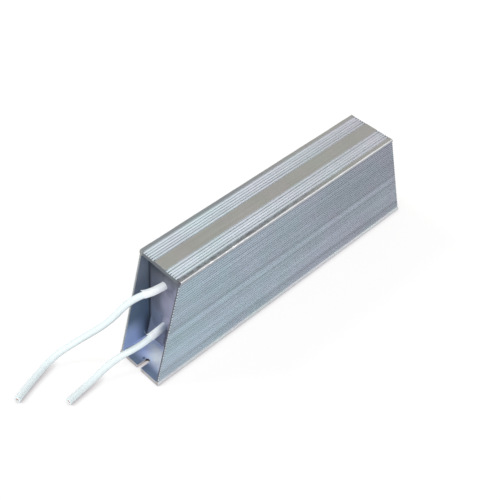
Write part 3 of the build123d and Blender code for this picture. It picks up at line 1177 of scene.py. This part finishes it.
        spot = sketch.give("ShaderNodeCombineXYZ", {0: along.math("SIGN") * reach, 1: across, 2: up})
        cut = sketch.give("GeometryNodeSetPosition", {"Geometry": real, "Position": spot})
        is_end = abs(sketch.give("GeometryNodeInputNormal").axes()[0]).math("GREATER_THAN", 0.5)
        skinned = sketch.give("GeometryNodeSetMaterial", {"Geometry": cut, "Material": given["Skin"]})
        sawn = {"Geometry": skinned, "Selection": is_end, "Material": given["Cut End"]}
        sketch.put("NodeGroupOutput", {0: sketch.give("GeometryNodeSetMaterial", sawn)})
        return tree

    @staticmethod
    def rib_row(tree: bpy.types.NodeTree, name: str, **inputs: object) -> bpy.types.Object:
        """Make one row of ribs as a plain mesh.

        Args:
            tree: The rib tree.
            name: Name of the piece.
            inputs: Values by the input's name, with a low line for a space.

        Returns:
            The row's object.
        """
        piece = link_object(name, bpy.data.meshes.new(name))
        grower = piece.modifiers.new("ribs", "NODES")
        grower.node_group = tree
        known = {item.name: item.identifier for item in tree.interface.items_tree if item.in_out == "INPUT"}
        for key, value in inputs.items():
            grower[known[key.replace("_", " ")]] = value
        return settle(piece, 40.0)

    def ribs(self, finishes: Finishes) -> Iterator[bpy.types.Object]:
        """Make the ribs of both sides and of the two groups on top.

        Args:
            finishes: The materials.

        Returns:
            The rows' objects, one at a time.
        """
        tree = self.rib_tree()
        depth = self.groove_depth + self.sink
        flank = 2 * self.flank_run * depth / self.groove_depth
        common = {
            "Depth": depth, "Rounding": self.rib_rounding, "Base_Reach": self.base_half - self.rib_end_gap,
            "Slant": self.setback / self.height, "Skin": finishes.skin, "Cut_End": finishes.rib_end_highlight,
        }
        first = self.height / 2 - (self.side_ribs - 1) * SIDE_PITCH / 2
        for side in (Side.LEFT, Side.RIGHT):
            out, turn = side.value
            level = out * (self.width / 2 - self.side_setback - depth / 2)
            yield self.rib_row(
                tree, f"ribs_{side.name.lower()}", Count=self.side_ribs, Start=(0.0, level, first),
                Step=(0.0, 0.0, SIDE_PITCH), Turn=(turn, 0.0, 0.0), Crest_Width=self.side_crest,
                Root_Width=self.side_crest + flank, **common,
            )
        start = -(self.top_ribs - 1) * TOP_PITCH / 2
        for sign, name in ((1, "left"), (-1, "right")):
            yield self.rib_row(
                tree, f"ribs_top_{name}", Count=self.top_ribs,
                Start=(0.0, TOP_SHIFT + sign * self.top_centre + start, self.height - depth / 2),
                Step=(0.0, TOP_PITCH, 0.0), Turn=(Side.UP.value[1], 0.0, 0.0), Crest_Width=self.top_crest,
                Root_Width=self.top_crest + flank, **common,
            )

    def build(self, finishes: Finishes) -> None:
        for piece in (self.shell(finishes), *self.ribs(finishes)):
            declare(piece, "anodised_aluminium", "housing")


@dataclass
class EndClosure:
    """Uneven cement on the leaning board that closes one end of the housing."""

    side: int
    holes: tuple[float, ...]
    face_middle: float = 0.1235
    middle: float = 0.0532
    slope: float = math.tan(math.radians(3.4))
    half_width: float = 0.0222
    low: float = 0.003
    high: float = 0.1034
    bead_width: float = 0.0012
    bead_depth: float = 0.0008
    toe_height: float = 0.0130
    toe_depth: float = 0.0030
    corner_height: float = 0.0260
    corner_depth: float = 0.0058
    mound_reach: float = 0.0085
    mound_depth: float = 0.0030
    cell: float = 0.0007
    under: float = 0.00025
    hole_radius: float = 0.00415

    def face(self, up: float) -> float:
        """Distance of the leaning board's face from the middle at a height."""
        return self.face_middle + (self.middle - up) * self.slope

    def fillet(self, distance: float, width: float, depth: float, hollow: float = 1.7) -> float:
        """Height of a hollow fillet at a distance from its wall."""
        share = max(0.0, 1.0 - max(distance, 0.0) / width)
        return (depth + self.under) * share**hollow - self.under

    def thickness(self, across: float, up: float) -> float:
        """How far the cement stands out from the board at a point.

        Args:
            across: Place across the housing.
            up: Height.

        Returns:
            The distance, which is less than nothing where there is none.
        """
        seed = Vector((across * 260.0, up * 260.0, 7.0 * self.side))
        slow = Vector((across * 55.0, up * 55.0, 3.0 * self.side))
        spread = 1.0 + 0.35 * noise.noise(slow) + 0.22 * noise.noise(seed)
        beads = (self.half_width - abs(across), self.high - up, up - self.low)
        level = max(self.fillet(gap, self.bead_width * spread, self.bead_depth * 0.92) for gap in beads)
        aside = abs(across) / self.half_width
        corner = max(0.0, (aside - 0.55) / 0.45) ** 2 * (1.0 if across > 0 else 0.5)
        tall = self.toe_height + (self.corner_height - self.toe_height) * corner
        deep = self.toe_depth + (self.corner_depth - self.toe_depth) * corner
        tall *= 1.0 + 0.22 * noise.noise(slow * 1.7)
        level = max(level, self.fillet(up - self.low, tall, deep, 1.25))
        for axis in self.holes:
            off = math.hypot(across, up - axis) - self.hole_radius
            mound = self.mound_reach * spread - self.hole_radius
            level = max(level, self.fillet(off, mound, self.mound_depth, 1.4))
        return level + 0.00006 * noise.noise(seed * 2.0)

    def build(self, finishes: Finishes) -> None:
        """Args:
            finishes: The materials.
        """
        made = bmesh.new()
        wide, tall = round(2 * self.half_width / self.cell), round((self.high - self.low) / self.cell)
        spots: dict[tuple[int, int], tuple[bmesh.types.BMVert, float]] = {}
        for column in range(wide + 1):
            for row in range(tall + 1):
                across = -self.half_width + 2 * self.half_width * column / wide
                up = self.low + (self.high - self.low) * row / tall
                level = self.thickness(across, up)
                vertex = made.verts.new((self.side * (self.face(up) + level), across, up))
                spots[column, row] = (vertex, level)
        for column in range(wide):
            for row in range(tall):
                corner = [spots[column + step, row + rise] for step, rise in ((0, 0), (1, 0), (1, 1), (0, 1))]
                if max(level for _, level in corner) > -self.under * 0.8:
                    made.faces.new([vertex for vertex, _ in corner])
        bmesh.ops.delete(made, geom=[spot for spot in made.verts if not spot.link_faces], context="VERTS")
        for item in bmesh.ops.extrude_face_region(made, geom=list(made.faces))["geom"]:
            if isinstance(item, bmesh.types.BMVert):
                item.co.x = self.side * (self.face(item.co.z) - 2 * self.under)
        name = "near" if self.side < 0 else "far"
        piece = mesh_object(f"{name}_cement", made, 60.0)
        piece.data.materials.append(finishes.by_slot["sealing_cement"])
        declare(piece, "sealing_cement", f"{name}_end_seal")


class PathGuide:
    """A line of points with its length and a frame that doesn't twist along it."""

    def __init__(self, spots: Sequence[Vector]) -> None:
        """Work out the length and the frames.

        Args:
            spots: Points in order along the line.
        """
        self.spots = list(spots)
        self.places = [0.0]
        for first, second in zip(self.spots, self.spots[1:]):
            self.places.append(self.places[-1] + (second - first).length)
        self.length = self.places[-1]
        last = len(self.spots) - 1
        ends = ((self.spots[max(index - 1, 0)], self.spots[min(index + 1, last)]) for index in range(last + 1))
        self.ways = [(after - before).normalized() for before, after in ends]
        upright = Vector((0.0, 0.0, 1.0))
        self.tops = [(upright - self.ways[0] * upright.dot(self.ways[0])).normalized()]
        for before, after in zip(self.ways, self.ways[1:]):
            turned = before.rotation_difference(after) @ self.tops[-1]
            self.tops.append((turned - after * turned.dot(after)).normalized())

    def frame(self, place: float) -> Matrix:
        """Frame at a distance along the line: X aside, Y on top, Z along.

        Args:
            place: Distance from the line's start.

        Returns:
            The frame as a matrix.
        """
        place = min(max(place, 0.0), self.length)
        index = 0
        while index < len(self.places) - 2 and self.places[index + 1] < place:
            index += 1
        share = (place - self.places[index]) / (self.places[index + 1] - self.places[index])
        spot = self.spots[index].lerp(self.spots[index + 1], share)
        way = self.ways[index].lerp(self.ways[index + 1], share).normalized()
        top = self.tops[index].lerp(self.tops[index + 1], share)
        top = (top - way * top.dot(way)).normalized()
        turn = Matrix((top.cross(way), top, way)).transposed().to_4x4()
        return Matrix.Translation(spot) @ turn

    def turned_piece(
        self, name: str, profile: Sequence[Pair], sides: int,
        shape: Callable[[float, float, float], Pair] | None = None, closed: bool = False,
    ) -> bpy.types.Object:
        """Turn a profile of places and radii round the line.

        Args:
            name: Name of the piece.
            profile: Distance along the line and radius of each ring.
            sides: Points in a ring.
            shape: Function that moves a point's place and radius by its angle, if any.
            closed: Whether the last ring joins the first.

        Returns:
            The object, with a UV map in metres round and along the line.
        """
        made = bmesh.new()
        layer = made.loops.layers.uv.new("UVMap")
        rings = []
        for along, radius in profile:
            if radius == 0.0:
                rings.append([made.verts.new(self.frame(along).translation)] * sides)
                continue
            ring = []
            for angle in (math.tau * step / sides for step in range(sides)):
                place, reach = shape(along, radius, angle) if shape else (along, radius)
                local = Vector((reach * math.sin(angle), reach * math.cos(angle), 0.0))
                ring.append(made.verts.new(self.frame(place) @ local))
            rings.append(ring)
        joined = list(zip(rings, profile))
        for start, end in zip(joined, joined[1:] + (joined[:1] if closed else [])):
            self.skin(made, layer, start, end)
        return mesh_object(name, made, 50.0)

    @staticmethod
    def skin(
        made: bmesh.types.BMesh,
        layer: bmesh.types.BMLayerItem,
        start: tuple[list, Pair],
        end: tuple[list, Pair],
    ) -> None:
        """Fill the faces between two rings and write their UV map.

        Args:
            made: The mesh in the making.
            layer: Its UV layer.
            start: Vertices of the first ring, the same one all round at a pole, with its place and radius.
            end: The second ring likewise.
        """
        (first, (low, one)), (second, (high, two)) = start, end
        girth, sides = math.tau * max(one, two), len(first)
        for step in range(sides):
            after = (step + 1) % sides
            left, right = step / sides * girth, (step + 1) / sides * girth
            around = [
                (first[step], (left, low)), (first[after], (right, low)),
                (second[after], (right, high)), (second[step], (left, high)),
            ]
            if first[0] is first[1]:
                del around[1]
            elif second[0] is second[1]:
                del around[2]
            face = made.faces.new([vertex for vertex, _ in around])
            for loop, (_, spot) in zip(face.loops, around):
                loop[layer].uv = spot


@dataclass
class Lead:
    """One free lead: its silicone jacket, the woven sleeve over its start and its bare cut strands."""

    name: str
    points: tuple[Triple, ...]
    length: float
    exit: Triple
    turn: float
    radius: float = 0.00295
    ring_step: float = 0.0014
    strand_circle: float = 0.0012
    strand_pitch: float = 0.00047
    strand_radius: float = 0.00022
    strands_sunk: float = 0.0004
    sleeve_radius: float = 0.00350
    sleeve_bore: float = 0.00302
    sleeve_length: float = 0.0315
    gape_length: float = 0.0065
    sides: int = 32

    def route(self) -> list[Vector]:
        """Read points along the lead's NURBS line.

        Returns:
            The points in order, from the housing to the free end.
        """
        curve = bpy.data.curves.new(f"{self.name}_route", "CURVE")
        curve.dimensions = "3D"
        curve.resolution_u = 24
        spline = curve.splines.new("NURBS")
        spline.points.add(len(self.points) - 1)
        for point, spot in zip(spline.points, self.points):
            point.co = (*spot, 1.0)
        spline.order_u = 3
        spline.use_endpoint_u = True
        guide = link_object(curve.name, curve)
        mesh = evaluated_mesh(guide)
        spots = [vertex.co.copy() for vertex in mesh.vertices]
        bpy.data.objects.remove(guide)
        bpy.data.meshes.remove(mesh)
        bpy.data.curves.remove(curve)
        return spots

    def build(self, finishes: Finishes) -> None:
        """Args:
            finishes: The materials.
        """
        spots = self.route()
        guide = PathGuide(spots)
        end, floor, bore = guide.length, guide.length - self.strands_sunk, self.strand_circle
        steps = int(end / self.ring_step)
        profile = [(0.0, 0.0), (0.0, self.radius)]
        profile += [(end * step / steps, self.radius) for step in range(1, steps)]
        profile += [
            (end - 0.00025, self.radius), (end - 0.00008, self.radius - 0.00008), (end, self.radius - 0.00028),
            (end, bore + 0.0002), (end - 0.0001, bore + 0.00008), (floor, bore + 0.00005), (floor, 0.0),
        ]
        jacket = guide.turned_piece(f"{self.name}_jacket", profile, self.sides)
        sleeve, strands = self.sleeve(guide), self.strands(guide, floor)
        for piece, material, slot, node in (
            (jacket, finishes.jacket, "lead_insulation", f"{self.name}_lead"),
            (sleeve, finishes.sleeve, "lead_sleeve", f"{self.name}_sleeve"),
            (strands, finishes.by_slot["copper"], "copper", ""),
        ):
            piece.data.materials.append(material)
            declare(piece, slot, node)
        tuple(self.exit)

    def sleeve(self, guide: PathGuide) -> bpy.types.Object:
        """Build the woven sleeve, whose cut end gapes on one side.

        Args:
            guide: The lead's path.

        Returns:
            The sleeve's object.
        """
        end, steps = self.sleeve_length, 42
        outer = [(end * step / steps, self.sleeve_radius) for step in range(steps + 1)]
        inner = [(along, self.sleeve_bore) for along, _ in reversed(outer)]
        profile = [*outer, (end + 0.00012, (self.sleeve_radius + self.sleeve_bore) / 2), *inner]

        def shape(along: float, radius: float, angle: float) -> Pair:
            """Lift the cut end on the side that gapes, thin it on the other and draw out a small flap.

            Args:
                along: Place along the lead.
                radius: Distance from its middle.
                angle: Turn round it.

            Returns:
                The new place and distance.
            """
            near_end = max(0.0, 1.0 - (end - along) / self.gape_length)
            towards = math.cos(angle - self.turn)
            lift = 0.00055 * near_end * max(towards, 0.0)
            outer_skin = radius > self.sleeve_bore + 0.0002
            thin = 0.00040 * near_end * max(-towards, 0.0) if outer_skin else 0.0
            flap = 0.0011 * near_end**4 * max(0.0, math.cos(angle - self.turn + 0.5)) ** 14
            ripple = 0.00004 * math.sin(3.0 * angle + 900.0 * along)
            return along + flap, radius + lift - thin + 0.5 * flap + ripple

        return guide.turned_piece(f"{self.name}_woven_sleeve", profile, self.sides, shape, closed=True)

    def strands(self, guide: PathGuide, start: float) -> bpy.types.Object:
        """Build the cut strands as nineteen small rounded wires in the jacket's end.

        Args:
            guide: The lead's path.
            start: Place of the jacket's inner floor along the path.

        Returns:
            The strands' object.
        """
        made = bmesh.new()
        spots = [(0.0, 0.0)]
        for ring, count in ((1, 6), (2, 12)):
            reach = self.strand_pitch * ring
            for turn in (math.tau * step / count + 0.2 * ring for step in range(count)):
                spots.append((reach * math.cos(turn), reach * math.sin(turn)))
        there, thick = guide.frame(start), self.strand_radius
        for index, (aside, up) in enumerate(spots):
            tall = 0.00024 + 0.00006 * math.sin(5.0 * index)
            rings = []
            for height, radius in ((-0.0003, thick), (tall - 0.00006, thick), (tall, 0.00014)):
                ring = []
                for turn in (math.tau * step / 8 for step in range(8)):
                    local = Vector((aside + radius * math.cos(turn), up + radius * math.sin(turn), height))
                    ring.append(made.verts.new(there @ local))
                rings.append(ring)
            for first, second in zip(rings, rings[1:]):
                bridge(made, first, second)
            made.faces.new(rings[-1])
            made.faces.new(rings[0][::-1])
        return mesh_object(f"{self.name}_cut_strands", made, 50.0)


@dataclass
class CarriedNodes:
    """CAD nodes that keep their own shape and get the finish of their record slot."""

    replaced: tuple[str, ...] = ("anodised_aluminium", "sealing_cement", "lead_sleeve", "lead_insulation")

    def dress(self, finishes: Finishes) -> None:
        """Give each node its material.

        Args:
            finishes: The materials.
        """
        for row in frame["record"]["subparts"]:
            slot = row["material_slot"]
            if slot in self.replaced:
                continue
            node, material = frame["nodes"][row["node"]], finishes.by_slot[slot]
            if not node.material_slots:
                node.data.materials.append(material)
            for holder in node.material_slots:
                holder.material = material
            LOG.info("%s: %s", row["node"], slot)


@dataclass
class Studio:
    """Plain white floor and background, soft light and the camera.

    A lamp has a name, the direction its light comes from, its strength, its width in degrees and its colour.
    A shading of the floor has its reach, and the openness at which it is dark and at which it is gone.
    """

    eye: Triple = (-0.44622, -0.40778, 0.65816)
    look: Triple = (0.49793, 0.48490, -0.71899)
    roll: float = math.radians(1.894)
    lens: float = 68.57
    sensor: float = 36.0
    world_level: float = 0.40
    lamps: tuple[tuple[str, Triple, float, float, Triple], ...] = (
        ("key", (-0.52, 0.78, 0.95), 1.30, 20.0, (1.0, 0.99, 0.97)),
        ("front", (-1.0, -0.1, 0.60), 0.85, 34.0, (0.90, 0.96, 1.0)),
        ("fill", (-0.3, -1.0, 0.45), 1.28, 50.0, (0.985, 0.99, 1.0)),
    )
    floor_half: float = 4.0
    floor_level: float = -0.0001
    floor_base: Triple = (0.6, 0.6, 0.6)
    floor_glow: Triple = (0.84, 0.82, 0.80)
    floor_shadow: Triple = (0.43, 0.39, 0.40)
    floor_part: Triple = (0.22, 0.24, 0.26)
    floor_shadings: tuple[Triple, Triple] = ((0.006, 0.28, 1.0), (0.05, 0.22, 0.50))

    def build(self) -> None:
        """Build the floor, the world, the lamps and the camera."""
        self.build_world()
        self.build_floor()
        for name, source, strength, softness, colour in self.lamps:
            light = bpy.data.lights.new(name, "SUN")
            light.energy = strength
            light.angle = math.radians(softness)
            light.color = colour
            link_object(name, light).rotation_euler = Vector(source).to_track_quat("Z", "Y").to_euler()
        self.build_camera()

    @staticmethod
    def seen_rays(sketch: NodeSketch) -> Field:
        """One for rays from the camera and for those that gloss or glass sends on."""
        path = sketch.fields(sketch.put("ShaderNodeLightPath"))
        return path["Is Camera Ray"].larger(path["Is Glossy Ray"]).larger(path["Is Transmission Ray"])

    def build_world(self) -> None:
        """White background, with a lower level of light for the object."""
        world = bpy.data.worlds.new("studio")
        bpy.context.scene.world = world
        world.use_nodes = True
        sketch, nodes = NodeSketch(world.node_tree), world.node_tree.nodes
        sketch.feed(nodes["Background"], {"Color": WHITE, "Strength": self.world_level})
        white = sketch.give("ShaderNodeBackground", {"Color": WHITE})
        shaders = {0: self.seen_rays(sketch), 1: nodes["Background"].outputs[0], 2: white}
        sketch.feed(nodes["World Output"], {"Surface": sketch.give("ShaderNodeMixShader", shaders)})

    def build_floor(self) -> None:
        """White floor that keeps a faint shadow of the object and can be seen through from below."""
        mesh, far, level = bpy.data.meshes.new("studio_floor"), self.floor_half, self.floor_level
        corner = [(-far, -far, level), (far, -far, level), (far, far, level), (-far, far, level)]
        mesh.from_pydata(corner, [], [(0, 1, 2, 3)])
        material = bpy.data.materials.new("studio_floor")
        material.use_nodes = True
        sketch, nodes = NodeSketch(material.node_tree), material.node_tree.nodes
        matt = {"Base Color": self.floor_base, "Roughness": 1.0, "Specular IOR Level": 0.0}
        sketch.feed(nodes["Principled BSDF"], matt)
        near, wide = (
            sketch.give("ShaderNodeAmbientOcclusion", {"Distance": reach}, "AO", samples=8).remap(low, high)
            for reach, low, high in self.floor_shadings
        )
        shadow = near.math("MINIMUM", wide).mix(self.floor_shadow, self.floor_glow)
        glow = sketch.give("ShaderNodeEmission", {"Color": shadow})
        lit = sketch.give("ShaderNodeBsdfDiffuse", {"Color": self.floor_part})
        seen = sketch.give("ShaderNodeAddShader", {0: glow, 1: lit})
        shaders = {0: self.seen_rays(sketch), 1: nodes["Principled BSDF"].outputs[0], 2: seen}
        above = sketch.give("ShaderNodeMixShader", shaders)
        below = sketch.give("ShaderNodeBsdfTransparent")
        backfacing = sketch.give("ShaderNodeNewGeometry", output="Backfacing")
        sided = sketch.give("ShaderNodeMixShader", {0: backfacing, 1: above, 2: below})
        sketch.feed(nodes["Material Output"], {"Surface": sided})
        mesh.materials.append(material)
        floor = link_object("studio_floor", mesh)

    def build_camera(self) -> None:
        """Put the camera where the photograph was taken from, and set how colours are shown."""
        look = Vector(self.look).normalized()
        right = look.cross(Vector((0.0, 0.0, 1.0))).normalized()
        top = right.cross(look)
        turned_right = math.cos(self.roll) * right + math.sin(self.roll) * top
        turned_top = -math.sin(self.roll) * right + math.cos(self.roll) * top
        data = bpy.data.cameras.new("camera")
        data.lens = self.lens
        data.sensor_width = self.sensor
        data.clip_start = 0.01
        camera = link_object("camera", data)
        turn = Matrix((turned_right, turned_top, -look)).transposed().to_4x4()
        camera.matrix_world = Matrix.Translation(Vector(self.eye)) @ turn
        bpy.context.scene.camera = camera
        bpy.context.scene.view_settings.view_transform = "Standard"


UPPER_ROUTE: tuple[Triple, ...] = (
    (-0.1120, 0.0, 0.0805),
    (-0.1310, 0.0, 0.0805),
    (-0.1515, 0.0115, 0.0755),
    (-0.1680, 0.0225, 0.0500),
    (-0.1835, 0.0440, 0.0225),
    (-0.2035, 0.0560, 0.0075),
    (-0.2290, 0.0515, 0.00305),
    (-0.2530, 0.0425, 0.00305),
)
LOWER_ROUTE: tuple[Triple, ...] = (
    (-0.1120, 0.0, 0.0329),
    (-0.1310, 0.0, 0.0329),
    (-0.1505, 0.0015, 0.0255),
    (-0.1735, 0.0140, 0.0130),
    (-0.1990, 0.0150, 0.00305),
    (-0.2235, 0.0120, 0.00305),
)


def main() -> None:
    """Build every piece around the frame."""
    logging.basicConfig(level=logging.INFO, format="%(name)s: %(message)s")
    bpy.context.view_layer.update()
    finishes = Finishes()
    Studio().build()
    Lead("upper", UPPER_ROUTE, 0.190, (-0.1219, 0.0, 0.0805), math.radians(-25.0)).build(finishes)
    Lead("lower", LOWER_ROUTE, 0.120, (-0.1247, 0.0, 0.0329), math.radians(-10.0)).build(finishes)
    Housing().build(finishes)
    EndClosure(-1, (0.0805, 0.0329)).build(finishes)
    EndClosure(1, ()).build(finishes)
    CarriedNodes().dress(finishes)


if __name__ == "__main__":
    main()
